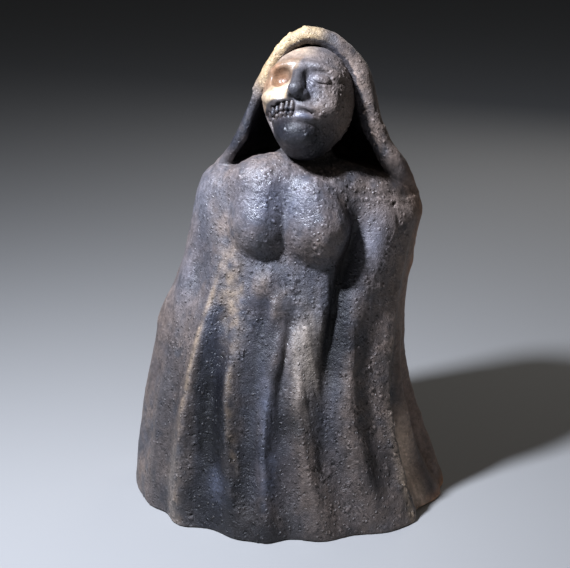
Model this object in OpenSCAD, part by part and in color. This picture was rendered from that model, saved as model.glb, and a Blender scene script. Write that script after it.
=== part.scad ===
// Hooded, slab-built clay figure, half living and half skull, standing on its open hem.
// Frame: millimetres, +Z up, front towards -Y, the figure's own left towards +X.
// The origin is the centre of the hem's outline, on the surface that the figure stands on.

/* [Figure] */
// Height of the whole figure, hem to crown of the hood
height = 228; // [200:1:260]
// Width of the hem, side to side
hem_width = 158; // [140:1:180]
// Depth of the hem, front to back
hem_depth = 136; // [120:1:156]
// Thickness of the clay slabs of gown and cloak
slab = 6; // [5:0.5:8]

/* [Drapery] */
// Height of the deepest folds above the cloth around them
fold_depth = 6; // [2:0.5:8]
// Height of the seam between skirt and bodice
waist_height = 104; // [95:1:115]

/* [Bust] */
// Radius of each applied breast
breast_radius = 13.5; // [11:0.5:14]
// How far each breast stands out of the bodice
breast_rise = 14; // [8:0.5:16]

/* [Head] */
// Width of the head across the cheeks
head_width = 41; // [36:0.5:46]
// Height of the head, chin to crown
head_height = 53; // [48:0.5:58]
// Lean of the head backwards, in degrees
head_tilt = 42; // [0:1:46]
// Turn of the head towards the figure's right, in degrees
head_turn = 16; // [0:1:24]
// Thickness of the two face slabs over the core of the head
face_slab = 3.5; // [3:0.25:4.5]
// Number of teeth bared in each row
teeth = 6; // [4:1:7]

/* [Hood] */
// Thickness of the hood slab
hood_slab = 5; // [4:0.5:6]
// Radius of the rolled rim of the hood
rim_radius = 3.2; // [2.5:0.1:4]

/* [Inside] */
// Radius of the coils that lute the seams from inside
coil_radius = 3.5; // [2.5:0.25:4.5]

/* [Hidden] */

// The tables below are drawn for a figure 228 tall, 158 wide and 136 deep at the hem.
kz = height / 228;
kx = hem_width / 158;
ky = hem_depth / 136;

// [height, sideways place of the body's middle, half width, depth to the front, depth to the back]
body = [
  [0, 0, 76.5, 66, 66], [25, -3.5, 70.5, 61, 61], [50, -5.5, 65, 56.5, 57], [75, -4, 61.8, 51.5, 53],
  [104, 1, 58.8, 45, 49], [118, 4, 57.5, 41.5, 46], [132, 7, 57, 38, 43], [142, 9, 56.3, 35.5, 41],
  [150, 8.5, 53.2, 33, 38.5], [158, 8, 48.5, 29.5, 36], [166, 9.5, 39.5, 25.5, 33]
];

// The shoulders end on a tilted plane: its height at x = 9 and its slope towards +X
shoulder_height = 157;
shoulder_slope = -0.145;

// Angles run from the front, 0, round the figure's left, 90, to the back, 180.
// Each fold: [angle at the hem, angle at its upper end, height where it fades out,
//             share of the fold depth, half width in degrees]
folds = [
  [-41.5, -39.5, 148, 1.25, 5.5], [-18, -26, 124, 0.75, 6], [-7, -2.5, 106, 0.6, 4.6],
  [12, 5.5, 110, 0.75, 5.5], [34, 30, 120, 0.75, 6.5], [47.5, 62, 158, 1.35, 5.5], [71, 64, 112, 0.7, 5],
  [86, 90, 90, 1, 8],
  [-62, -60, 100, 0.5, 6], [-83, -80, 110, 0.7, 8], [-104, -100, 95, 0.8, 8], [-126, -120, 118, 0.8, 9],
  [-154, -146, 122, 0.9, 8], [179, 178, 130, 0.8, 8], [152, 150, 118, 0.9, 8], [124, 124, 124, 0.9, 9],
  [104, 106, 92, 0.6, 6]
];

// Seams between the slabs: angle at the hem and at the shoulder
seam_front_right = [-36, -38.5];
seam_front_left = [55, 70];
seam_side_right = [-104, -100];
seam_side_left = [100, 98];
seam_back = [180, 180];

// Sampling of the drapery
column_step = 3.6;
row_step = 10;

function ease(t) = let (u = min(1, max(0, t))) u * u * (3 - 2 * u);
function mix(a, b, t) = a + (b - a) * t;
function unit(v) = v / norm(v);

// The rest of a table's row at height z, on a smooth curve through the rows
function cell(t, z, i = 0) = i >= len(t) - 2 || z < t[i + 1][0] ? i : cell(t, z, i + 1);
function rise(t, i) = (t[i + 1] - t[i]) / (t[i + 1][0] - t[i][0]);
function slope(t, i) =
  i <= 0 ? rise(t, 0) : i >= len(t) - 1 ? rise(t, len(t) - 2) : (rise(t, i) + rise(t, i - 1)) / 2;
function curve(t, z) =
  let (i = cell(t, z), h = t[i + 1][0] - t[i][0], u = (z - t[i][0]) / h)
  t[i] * (2 * u ^ 3 - 3 * u ^ 2 + 1) + slope(t, i) * h * (u ^ 3 - 2 * u ^ 2 + u)
  + t[i + 1] * (3 * u ^ 2 - 2 * u ^ 3) + slope(t, i + 1) * h * (u ^ 3 - u ^ 2);

// Height of the folds at an angle and a height
function turn_between(a, b) = abs((a - b + 540) % 360 - 180);
function fold(f, a, z) =
  let (t = min(1, z / f[2]), off = turn_between(a, mix(f[0], f[1], t)) / f[4])
  f[3] * (1 - ease(t) ^ 2) * exp(-off * off);
function fold_height(a, z) = fold_depth * ([for (f = folds) fold(f, a, z)] * [for (f = folds) 1] - 0.35);

// A point of the body's skin, moved inwards by inset
function skin(a, z, inset = 0) =
  let (
    b = curve(body, z),
    depth = cos(a) > 0 ? b[3] * ky : b[4] * ky,
    half = b[2] * kx,
    out = unit([sin(a) / half, -cos(a) / depth]),
    lift = fold_height(a, z) * ease((162 - z) / 34) - inset
  )
  [b[1] * kx + half * sin(a) + out[0] * lift, -depth * cos(a) + out[1] * lift, z * kz];

// Height of the shoulder plane over a point, and where the skin at an angle meets it
function plane(p) = (shoulder_height + shoulder_slope * (p[0] / kx - 9)) * kz;
function top_z(a, inset, z = 157, n = 5) = n == 0 ? z : top_z(a, inset, plane(skin(a, z, inset)) / kz, n - 1);

// The hem's outline is centred on the origin
hem = [for (a = [-180 : 2 : 178]) skin(a, 0)];
hem_shift = -[
  max([for (p = hem) p[0]]) + min([for (p = hem) p[0]]),
  max([for (p = hem) p[1]]) + min([for (p = hem) p[1]]),
  0
] / 2;

// Closed solid between two grids of points, outer and inner; wrap joins the last column to the first
module between(outer, inner, wrap = false) {
  rows = len(outer);
  cols = len(outer[0]);
  last = wrap ? cols : cols - 1;
  size = rows * cols;
  function at(r, c) = r * cols + c % cols;
  function quad(a, b, c, d) = [[a, b, c], [a, c, d]];
  faces = [
    for (r = [0 : rows - 2], c = [0 : last - 1])
      each quad(at(r, c), at(r + 1, c), at(r + 1, c + 1), at(r, c + 1)),
    for (r = [0 : rows - 2], c = [0 : last - 1])
      each quad(size + at(r, c), size + at(r, c + 1), size + at(r + 1, c + 1), size + at(r + 1, c)),
    for (c = [0 : last - 1])
      each quad(at(0, c), at(0, c + 1), size + at(0, c + 1), size + at(0, c)),
    for (c = [0 : last - 1])
      each quad(at(rows - 1, c + 1), at(rows - 1, c), size + at(rows - 1, c), size + at(rows - 1, c + 1)),
    if (!wrap) for (r = [0 : rows - 2])
      each quad(at(r + 1, 0), at(r, 0), size + at(r, 0), size + at(r + 1, 0)),
    if (!wrap) for (r = [0 : rows - 2])
      each quad(at(r, last), at(r + 1, last), size + at(r + 1, last), size + at(r, last))
  ];
  polyhedron(points = concat([for (row = outer) each row], [for (row = inner) each row]), faces = faces);
}

// Closed solid through rings of points: flat ends, or closed on itself
module loft(rings, closed = false) {
  rows = len(rings);
  cols = len(rings[0]);
  last = closed ? rows - 1 : rows - 2;
  function at(r, c) = (r % rows) * cols + c % cols;
  sides = [
    for (r = [0 : last], c = [0 : cols - 1]) each [
      [at(r, c), at(r + 1, c), at(r + 1, c + 1)], [at(r, c), at(r + 1, c + 1), at(r, c + 1)]
    ]
  ];
  ends = [[for (c = [0 : cols - 1]) at(0, c)], [for (c = [cols - 1 : -1 : 0]) at(rows - 1, c)]];
  polyhedron(points = [for (ring = rings) each ring], faces = closed ? sides : concat(sides, ends));
}

// A round tube that follows a path. Its ring of points is squared to the direction called across
module tube(path, radius, across, closed = false, sides = 8) {
  n = len(path);
  function beside(i) = closed ? path[(i + n) % n] : path[min(n - 1, max(0, i))];
  function ring(i) =
    let (
      ahead = unit(beside(i + 1) - beside(i - 1)),
      side = unit(cross(ahead, across)),
      up = cross(side, ahead),
      r = is_list(radius) ? mix(radius[0], radius[1], i / (n - 1)) : radius
    )
    [for (k = [0 : sides - 1]) path[i] + r * (cos(360 * k / sides) * side - sin(360 * k / sides) * up)];
  loft([for (i = [0 : n - 1]) ring(i)], closed);
}

// Gown and cloak: slabs of the drapery between two seams, from one row of heights to another
seam_top = 150;
waist_row = round(waist_height / row_step);
top_row = waist_row + 5;
function row_z(r, a, inset) =
  r <= waist_row ? waist_height * r / waist_row
  : mix(waist_height, top_z(a, inset), (r - waist_row) / (top_row - waist_row));
function seam_angle(seam, z) = mix(seam[0], seam[1], z / seam_top);
function cloth(seam_a, seam_b, r, t, inset) =
  let (
    z = r <= waist_row ? waist_height * r / waist_row
      : mix(waist_height, shoulder_height, (r - waist_row) / (top_row - waist_row)),
    a = mix(seam_angle(seam_a, z), seam_angle(seam_b, z), t)
  )
  skin(a, row_z(r, a, inset), inset);
module drape(seam_a, seam_b, low, high) {
  cols = max(2, round(abs(seam_a[0] - seam_b[0]) / column_step));
  between(
    [for (r = [low : high]) [for (c = [0 : cols]) cloth(seam_a, seam_b, r, c / cols, 0)]],
    [for (r = [low : high]) [for (c = [0 : cols]) cloth(seam_a, seam_b, r, c / cols, slab)]]
  );
}
module skirt_front() color("#4a4340") drape(seam_front_right, seam_front_left, 0, waist_row);
module bodice() color("#565155") drape(seam_front_right, seam_front_left, waist_row, top_row);
module cloak_right() color("#6b5f57") drape(seam_side_right, seam_front_right, 0, top_row);
module cloak_left() color("#75604d") drape(seam_front_left, seam_side_left, 0, top_row);
module cloak_back_left() color("#5e5048") drape(seam_side_left, seam_back, 0, top_row);
module cloak_back_right() color("#56504e") drape(seam_back - [360, 360], seam_side_right, 0, top_row);

// A breast is a domed lump of clay, taller than wide, pressed a little way into the bodice
breast_angles = [-23.5, 5];
breast_z = 140.5;
breast_lean = 15;
module breast(a) {
  seat = skin(a, breast_z, 1.6);
  out = skin(a, breast_z) - skin(a, breast_z, 1);
  translate(seat)
    rotate([0, 90 - breast_lean, atan2(out[1], out[0])])
    scale([1.38, 1, breast_rise / breast_radius])
    intersection() {
      sphere(breast_radius, $fn = 28);
      translate([-50, -50, 0]) cube(100);
    }
}
module breast_right() color("#6a6770") breast(breast_angles[0]);
module breast_left() color("#5b565c") breast(breast_angles[1]);

// The shelf closes the body under the hood and carries the neck
shelf_slab = 5;
neck_foot = [8, -8, 165];
neck_radius = 11.5;
function shelf(a, t, under) =
  let (
    inset = 0.3 + (hood_slab + 0.3) * ease((turn_between(a, 0) - 76) / 11),
    z = top_z(a, under ? slab + 0.2 : inset),
    edge = skin(a, z, under ? slab + 0.2 : inset),
    neck = [neck_foot[0] + neck_radius * sin(a), neck_foot[1] - neck_radius * cos(a)],
    in = 1 - cos(90 * t),
    up = mix(z, neck_foot[2], sin(90 * t) ^ 0.8)
  )
  [mix(edge[0], neck[0], in), mix(edge[1], neck[1], in), (under ? max(z, up - shelf_slab) : up) * kz];
function shelf_hole(a, z) = [neck_foot[0] + 5 * sin(a), neck_foot[1] - 5 * cos(a), z * kz];
module shoulder_shelf() color("#5f5c63") {
  angles = [for (a = [0 : 10 : 350]) a];
  between(
    concat(
      [for (t = [0 : 0.2 : 1]) [for (a = angles) shelf(a, t, false)]],
      [[for (a = angles) shelf_hole(a, neck_foot[2])]]
    ),
    concat(
      [for (t = [0 : 0.2 : 1]) [for (a = angles) shelf(a, t, true)]],
      [[for (a = angles) shelf_hole(a, neck_foot[2] - shelf_slab)]]
    ),
    wrap = true
  );
}
module neck() color("#3c393c") translate([neck_foot[0], neck_foot[1], neck_foot[2] * kz])
  cylinder(h = 10 * kz, r1 = neck_radius, r2 = neck_radius - 1, $fn = 48);

// The head: an egg-shaped core with two face slabs, seen in its own upright frame
head_centre = [8.5, -13, 194.5];
head_depth = 44;
module in_head() translate([head_centre[0], head_centre[1], head_centre[2] * kz])
  rotate([-head_tilt, 0, -head_turn]) children();
function head_at(lon, lat, out) =
  let (
    jaw = 1 - 0.26 * ease(-sin(lat) * 1.15),
    across = (head_width / 2 - face_slab + out) * cos(lat) ^ 0.8 * jaw,
    along = (head_depth / 2 - face_slab + out) * cos(lat) ^ 0.8
  )
  [across * sin(lon), -along * cos(lon), (head_height / 2 - 1.5 + out * 0.6) * sin(lat)];
module head_core() color("#3a3638") in_head()
  loft([for (lat = [-84 : 12 : 84]) [for (lon = [0 : 15 : 345]) head_at(lon, lat, 0)]]);

// Face slabs: thick in the middle and feathered out at the edge
face_lat = [-60, 60];
face_lon = 72;
function feather(lon, lat) =
  ease((face_lon + 4 - abs(lon)) / 20)
  * ease((lat - face_lat[0] + 6) / 16)
  * ease((face_lat[1] + 6 - lat) / 16);
function bump(lon, lat, at) =
  at[2] * exp(-((lon - at[0]) / at[3]) ^ 2 - ((lat - at[1]) / at[4]) ^ 2);
// Each feature: [longitude, latitude, height, half widths]
bone_features = [[-31, 3, -3, 13, 11], [-46, -16, 1.4, 14, 9], [-22, 22, 0.8, 20, 7], [-9, -16, -1.6, 5, 8]];
living_features = [[31, 3, -1.3, 14, 9], [38, -20, 1.2, 16, 12], [24, 17, 0.9, 20, 7], [8, -58, 1.4, 14, 9]];
module face_half(from, to, features) {
  lons = [for (lon = [from : 8 : to]) lon];
  lats = [for (lat = [face_lat[0] : 8 : face_lat[1]]) lat];
  function out(lon, lat) =
    let (relief = [for (f = features) bump(lon, lat, f)] * [for (f = features) 1])
    0.6 + feather(lon, lat) * max(0.6, face_slab - 0.6 + relief);
  between(
    [for (lat = lats) [for (lon = lons) head_at(lon, lat, out(lon, lat))]],
    [for (lat = lats) [for (lon = lons) head_at(lon, lat, 0)]]
  );
}
module face_bone_half() color("#e0c295") in_head() face_half(-face_lon, 0, bone_features);
module face_living_half() color("#56504f") in_head() face_half(0, face_lon, living_features);

// Small applied features of the face, each pressed into the slab under it
module bead(p, r) translate(p) sphere(r, $fn = 16);
face_y = -head_depth / 2;
module nose() color("#4d494c") in_head() hull() {
  bead([0.6, face_y + 1.2, 6], 1.8);
  bead([1, face_y - 4.2, -7.5], 2.4);
  bead([3.8, face_y + 0.4, -9], 2.1);
  bead([-1.2, face_y + 0.6, -9], 1.8);
}
module eyelid() color("#5a5558") in_head() translate(head_at(31, 2, 1.8)) rotate([0, 0, 30])
  resize([11, 5, 5.5]) sphere(5, $fn = 24);
module lips() color("#6f6d74") in_head() {
  hull() {
    bead(head_at(4, -30.5, face_slab + 0.2), 1.6);
    bead(head_at(27, -32.5, face_slab - 0.2), 1);
  }
  hull() {
    bead(head_at(4, -39, face_slab + 0.4), 1.8);
    bead(head_at(25, -37.5, face_slab - 0.2), 1.1);
  }
}

// Bared teeth of the skull half: small rounded blocks on an arc
tooth = [2.5, 2.6, 4.4];
function rounded(w, d, r) = [
  for (q = [0 : 3], s = [0 : 30 : 90])
    let (x = (q == 0 || q == 3 ? 1 : -1) * (w / 2 - r), y = (q < 2 ? 1 : -1) * (d / 2 - r))
    [x + r * cos(90 * q + s), y + r * sin(90 * q + s)]
];
module row_of_teeth(lat) in_head() for (i = [0 : teeth - 1])
  let (lon = -5 - i * 9.6, p = head_at(lon, lat, face_slab + 0.2))
  translate([p[0], p[1], p[2] - tooth[2] / 2]) rotate([0, 0, lon])
    linear_extrude(tooth[2]) polygon(rounded(tooth[0], tooth[1], 0.8));
module upper_teeth() color("#2f2a2a") row_of_teeth(-29);
module lower_teeth() color("#393332") row_of_teeth(-41);

// The hood: a draped slab. Its sections run from one side of the rim, round the back, to the other
rim_right = [
  [0, -33.9, 0, 163.22], [0.12, -29.5, -8, 170], [0.28, -24, -12, 180], [0.45, -19, -13, 192],
  [0.6, -14.5, -13, 203], [0.75, -8.5, -13, 214], [0.88, -1, -12.5, 223.5], [1, 10.5, -12, 228.2]
];
rim_left = [
  [0, 61.4, 0, 149.4], [0.12, 56.5, -7, 157], [0.28, 48.5, -12, 169], [0.45, 40.5, -12.5, 184],
  [0.6, 37, -12, 197], [0.75, 32, -12, 211], [0.88, 22.5, -12, 222.5], [1, 10.5, -12, 228.2]
];
crown = [
  [0, 8, 36.2, 157.145], [0.12, 9, 35.5, 166], [0.28, 9.5, 33, 178], [0.45, 10, 29.5, 191],
  [0.6, 10, 25, 202], [0.75, 10.5, 17.5, 213], [0.88, 10.5, 6, 223], [1, 10.5, -12, 228.2]
];
spine = [[0, 9, 0, 157], [0.5, 10, 0, 180], [1, 10, -4, 203]];
function on(line, s) = let (p = curve(line, s)) [p[1] * kx, p[2] * ky, p[3] * kz];
function hood_at(s, u, inset) =
  let (
    right = on(rim_right, s), left = on(rim_left, s), middle = (right + left) / 2,
    p = middle + (right - left) / 2 * cos(180 * u) + (on(crown, s) - middle) * sin(180 * u)
  )
  p + inset * unit(on(spine, s) - p);
hood_steps = [0, 0.06, 0.12, 0.18, 0.24, 0.32, 0.4, 0.48, 0.56, 0.64, 0.72, 0.79, 0.85, 0.9, 0.94, 0.97];
module hood() color("#7a6a55") between(
  [for (s = hood_steps) [for (u = [1 : -0.05 : 0]) hood_at(s, u, 0)]],
  [for (s = hood_steps) [for (u = [1 : -0.05 : 0]) hood_at(s, u, hood_slab)]]
);
rim_path = concat(
  [for (s = [0.06 : 0.06 : 0.96]) hood_at(s, 0, hood_slab / 2)],
  [for (s = [0.96 : -0.06 : 0.06]) hood_at(s, 1, hood_slab / 2)]
);
module hood_rim() color("#a08456") tube(rim_path, rim_radius * [0.85, 1.3], [0, 1, 0]);

// Coils that lute the seams from inside
coil_inset = slab + coil_radius - 0.8;
module seam_coils() color("#5c4636")
  for (seam = [seam_front_right, seam_front_left, seam_side_right, seam_side_left, seam_back])
    tube([for (z = [12 : 12 : 144]) skin(seam_angle(seam, z), z, coil_inset)], coil_radius, [0, 1, 0]);
module waist_coil() color("#5c4636") {
  from = seam_angle(seam_front_right, waist_height) + 9;
  to = seam_angle(seam_front_left, waist_height) - 9;
  tube([for (i = [0 : 16]) skin(mix(from, to, i / 16), waist_height, coil_inset)], coil_radius, [0, 0, 1]);
}
module hem_coil() color("#5c4636")
  tube([for (a = [0 : 6 : 354]) skin(a, coil_radius / kz, coil_inset)], coil_radius, [0, 0, 1], closed = true);

module standing() translate(hem_shift) children();
standing() skirt_front();
standing() cloak_right();
standing() cloak_left();
standing() cloak_back_right();
standing() cloak_back_left();
standing() bodice();
standing() breast_right();
standing() breast_left();
standing() shoulder_shelf();
standing() neck();
standing() head_core();
standing() face_bone_half();
standing() face_living_half();
standing() nose();
standing() eyelid();
standing() lips();
standing() upper_teeth();
standing() lower_teeth();
standing() hood();
standing() hood_rim();
standing() seam_coils();
standing() waist_coil();
standing() hem_coil();
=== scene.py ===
import math

import bpy
import numpy as np
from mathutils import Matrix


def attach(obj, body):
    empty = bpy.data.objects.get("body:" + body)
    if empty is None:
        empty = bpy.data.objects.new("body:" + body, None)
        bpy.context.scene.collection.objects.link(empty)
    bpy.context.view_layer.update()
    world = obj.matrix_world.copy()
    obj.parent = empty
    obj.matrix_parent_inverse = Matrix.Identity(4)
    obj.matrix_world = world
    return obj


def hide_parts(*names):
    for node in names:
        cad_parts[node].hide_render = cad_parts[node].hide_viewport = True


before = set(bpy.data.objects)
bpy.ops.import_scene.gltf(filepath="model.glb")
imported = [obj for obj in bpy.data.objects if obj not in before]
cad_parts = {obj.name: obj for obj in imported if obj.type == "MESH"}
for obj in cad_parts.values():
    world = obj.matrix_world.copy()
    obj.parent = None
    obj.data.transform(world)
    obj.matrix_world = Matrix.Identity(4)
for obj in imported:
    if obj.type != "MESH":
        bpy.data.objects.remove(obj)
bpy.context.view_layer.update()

import openvdb
from mathutils import Matrix, Vector

# Lengths are millimetres until a mesh is made. Angles run from the front, 0, round the
# figure's left, 90, to the back, 180, as in the CAD source.
MM = 0.001
# Centres the footprint on the origin, as the CAD does
SHIFT = np.array([-1.046, -0.788, 0.0])
BODY_VOXEL = 0.72
HEAD_VOXEL = 0.36
TEETH_VOXEL = 0.3
# Edges sharper than this stay sharp in the shading
SHARP_ANGLE = math.radians(42)
rng = np.random.default_rng(11)


# ---- small maths
def ease(t):
    t = np.clip(t, 0.0, 1.0)
    return t * t * (3 - 2 * t)


def mix(a, b, t):
    return a + (b - a) * t


def curve(rows, z):
    """Smooth curve through the rows of a table, whose first column is z."""
    rows = np.asarray(rows, float)
    x = rows[:, 0]
    i = np.clip(np.searchsorted(x, z, side="right") - 1, 0, len(x) - 2)
    rise = np.diff(rows, axis=0) / np.diff(x)[:, None]
    slope = np.vstack([rise[:1], (rise[1:] + rise[:-1]) / 2, rise[-1:]])
    h = (x[i + 1] - x[i])[..., None]
    u = ((z - x[i])[..., None]) / h
    return (
        rows[i] * (2 * u**3 - 3 * u**2 + 1)
        + slope[i] * h * (u**3 - 2 * u**2 + u)
        + rows[i + 1] * (3 * u**2 - 2 * u**3)
        + slope[i + 1] * h * (u**3 - u**2)
    )


LATTICE_SIDE = 48
LATTICE = rng.uniform(-1, 1, (LATTICE_SIDE,) * 3).astype(np.float32)


def noise(p, size, seed=0):
    """Smooth noise from -1 to 1 with features of about this size."""
    q = p / size + seed * 7.31
    i = np.floor(q).astype(int)
    f = q - i
    f = f * f * (3 - 2 * f)
    out = np.zeros(len(p))
    for dx in (0, 1):
        for dy in (0, 1):
            for dz in (0, 1):
                w = (
                    (f[:, 0] if dx else 1 - f[:, 0])
                    * (f[:, 1] if dy else 1 - f[:, 1])
                    * (f[:, 2] if dz else 1 - f[:, 2])
                )
                near = (i + (dx, dy, dz)) % LATTICE_SIDE
                out += w * LATTICE[near[:, 0], near[:, 1], near[:, 2]]
    return out


def fractal(p, size, seed=0, octaves=3):
    """Noise with finer and fainter noise laid over it."""
    layers = sum(noise(p, size / 2**k, seed + k) / 2**k for k in range(octaves))
    return layers / (2 - 2 ** (1 - octaves))


BITS = 0xFFFFFF


def share(key, times, plus):
    """A share from 0 to 1 that follows from a whole number but looks random."""
    return ((key * times + plus) & BITS) / BITS


def grains(p, cell, small, large, chance, seed=0):
    """Rounded grains of grog scattered in space, as the height each gives to the surface."""
    base = np.floor(p / cell).astype(int)
    out = np.zeros(len(p))
    for dx in (-1, 0, 1):
        for dy in (-1, 0, 1):
            for dz in (-1, 0, 1):
                c = base + (dx, dy, dz)
                k = (c[:, 0] * 73856093) ^ (c[:, 1] * 19349663) ^ (c[:, 2] * 83492791)
                k = (k ^ (seed * 2654435)) & BITS
                place = [share(k, 1103515245, 12345), share(k, 69069, 7331), share(k, 22695477, 911)]
                centre = (c + np.stack(place, 1)) * cell
                radius = mix(small, large, share(k, 134775813, 53) ** 2)
                d = np.linalg.norm(p - centre, axis=1) / radius
                there = ((k >> 4) % 1000) < chance * 1000
                out = np.maximum(out, np.where(there & (d < 1), (1 - d * d) * radius, 0))
    return out


# ---- the figure's own surfaces
# Height, middle in x, half width, depth to the front, depth to the back
BODY = [
    [0, 0, 76.5, 66, 66], [25, -3.5, 70.5, 61, 61], [50, -5.5, 65, 56.5, 57], [75, -4, 61.8, 51.5, 53],
    [104, 1, 58.8, 45, 49], [118, 4, 57.5, 41.5, 46], [132, 7, 57, 38, 43], [142, 9, 56.3, 35.5, 41],
    [150, 8.5, 53.2, 33, 38.5], [158, 8, 48.5, 29.5, 36], [166, 9.5, 39.5, 25.5, 33],
]
BODY_TOP = BODY[-1][0]
SLAB = 6.0
# Folds: angle at the hem and at the top, height where they fade out, how far they stand out,
# width on either side in degrees, power
FOLDS = [
    [-41.5, -39.5, 152, 6.6, 7.5, 4.0, 1.5], [-18, -26, 130, 5.6, 4.2, 4.8, 1.4],
    [-7.5, -2.5, 118, 5.0, 3.4, 3.0, 1.5], [12, 5.5, 122, 5.4, 4.2, 5.0, 1.6],
    [34, 28, 134, 5.8, 6.2, 6.6, 1.7], [47.5, 63, 160, 7.4, 8.0, 3.4, 1.4],
    [70, 64, 112, 5.0, 5.5, 4.5, 1.7], [86, 90, 92, 5.6, 7.0, 8.0, 1.8],
    [-62, -60, 100, 2.8, 6.0, 6.0, 1.8], [-83, -80, 112, 4.0, 8.0, 8.0, 1.8],
    [-104, -100, 95, 4.6, 8.0, 7.0, 1.7], [-126, -120, 118, 4.8, 9.0, 8.0, 1.7],
    [-154, -146, 122, 5.4, 7.0, 9.0, 1.7], [179, 178, 130, 4.8, 8.0, 8.0, 1.7],
    [152, 150, 118, 5.4, 8.0, 8.0, 1.7], [124, 124, 124, 5.2, 9.0, 8.0, 1.7],
    [104, 106, 92, 3.6, 6.0, 6.0, 1.7],
]
# The worn edge that leads the cloak on the right, and the corner of the gown on the left
LEADING_FOLD = FOLDS[0]
CORNER_FOLD = FOLDS[5]
# Local marks: angle, height, half width in degrees, half height, depth
MARKS = [
    [-57, 117, 7, 9, -3.4], [-84, 90, 12, 13, 2.4], [40, 134, 11, 22, 2.6], [24, 136, 5, 24, -5.0],
    [0.5, 82, 1.6, 24, -1.8], [-17, 116, 6, 6.5, 3.0], [-8, 107, 4.5, 9, 2.0], [-12, 100, 2.2, 8, -1.6],
    [-33, 125, 4, 16, 2.0], [-31, 60, 5.5, 46, -2.6], [21.5, 94, 4.5, 36, -5.0], [56, 60, 5, 50, -2.2],
    [78, 40, 2.6, 34, -3.0], [-52, 46, 5, 30, -1.8], [-52, 2, 6, 10, -2.6], [-12, 60, 3.5, 40, -1.0],
    [-2, 10, 12, 14, 1.0], [66, 22, 7, 16, -2.4], [40, 30, 6, 30, -0.8],
]


def off_angle(a, b):
    return (a - b + 540) % 360 - 180


def fold_angle(fold, z):
    """Angle of a fold's crest at a height."""
    return mix(fold[0], fold[1], np.clip(z / fold[2], 0, 1))


def lift(a, z):
    """How far the folds and marks raise the surface."""
    out = np.full(np.shape(a), -2.1)
    near_hem = ease(1 - z / 26)
    for a0, a1, top, high, left, right, power in FOLDS:
        t = np.clip(z / top, 0, 1)
        off = off_angle(a, mix(a0, a1, t))
        wide = np.where(off < 0, left, right) * (1 + 0.7 * near_hem)
        power = power + (2 - power) * near_hem
        out = out + high * (1 - 0.2 * near_hem) * (1 - ease(t) ** 2) * np.exp(-(np.abs(off / wide) ** power))
    for a0, z0, wa, wz, deep in MARKS:
        out = out + deep * np.exp(-((off_angle(a, a0) / wa) ** 2) - ((z - z0) / wz) ** 2)
    return out * ease((164 - z) / 34)


def skin(a, z, inset=0.0):
    """Points on the outside of the body, or that far inside it."""
    b = curve(BODY, z)
    s, c = np.sin(np.radians(a)), np.cos(np.radians(a))
    depth = np.where(c > 0, b[..., 3], b[..., 4])
    half = b[..., 2]
    n = np.stack([s / half, -c / depth], -1)
    n /= np.linalg.norm(n, axis=-1)[..., None]
    up = lift(a, z) - inset
    return np.stack([b[..., 1] + half * s + n[..., 0] * up, -depth * c + n[..., 1] * up, z + 0 * a], -1)


TOP_SLOPE = 0.145


def plane_z(x):
    """Height of the sloping plane where the body's walls end."""
    return 157 - TOP_SLOPE * (x - 9)


def top_z(a, inset):
    z = np.full(np.shape(a), 157.0)
    for _ in range(5):
        z = plane_z(skin(a, z, inset)[..., 0])
    return z


RIM_RIGHT = [
    [0, -33.9, 0, 163.2], [0.12, -29.5, -8, 170], [0.28, -24, -12, 180], [0.45, -19, -13, 192],
    [0.6, -14.5, -13, 203], [0.75, -8.5, -13, 214], [0.88, -1, -12.5, 223.5], [1, 10.5, -12, 228.2],
]
RIM_LEFT = [
    [0, 61.4, 0, 149.4], [0.12, 56.5, -7, 157], [0.28, 48.5, -12, 169], [0.45, 40.5, -12.5, 184],
    [0.6, 37, -12, 197], [0.75, 32, -12, 211], [0.88, 22.5, -12, 222.5], [1, 10.5, -12, 228.2],
]
CROWN = [
    [0, 8, 36.2, 157.1], [0.12, 9, 35.5, 166], [0.28, 9.5, 33, 178], [0.45, 10, 29.5, 191],
    [0.6, 10, 25, 202], [0.75, 10.5, 17.5, 213], [0.88, 10.5, 6, 223], [1, 10.5, -12, 228.2],
]
SPINE = [[0, 9, 0, 157], [0.5, 10, 0, 180], [1, 10, -4, 203]]
HOOD_SLAB = 5.0
NECK = np.array([8.0, -8.0, 165.0])


def hood_at(s, u, inset):
    right, left, crown, spine = (curve(t, s)[..., 1:] for t in (RIM_RIGHT, RIM_LEFT, CROWN, SPINE))
    middle = (right + left) / 2
    across = (right - left) / 2 * np.cos(np.pi * u)[..., None]
    p = middle + across + (crown - middle) * np.sin(np.pi * u)[..., None]
    toward = spine - p
    inset = np.asarray(inset, float) * np.ones(np.shape(s))
    return p + inset[..., None] * toward / np.linalg.norm(toward, axis=-1)[..., None]


# ---- closed meshes from grids of points
def grid_quads(rows, cols, wrap):
    r, c = np.meshgrid(np.arange(rows - 1), np.arange(cols if wrap else cols - 1), indexing="ij")
    d = (c + 1) % cols
    corners = [r * cols + c, (r + 1) * cols + c, (r + 1) * cols + d, r * cols + d]
    return np.stack(corners, -1).reshape(-1, 4)


def tip_tris(rows, cols):
    """Closes the first and last ring of a wrapped grid with two points that are added after it."""
    c = np.arange(cols)
    d = (c + 1) % cols
    n = rows * cols
    return np.concatenate([
        np.stack([c, d, np.full(cols, n)], -1),
        np.stack([n - cols + d, n - cols + c, np.full(cols, n + 1)], -1),
    ])


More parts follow.
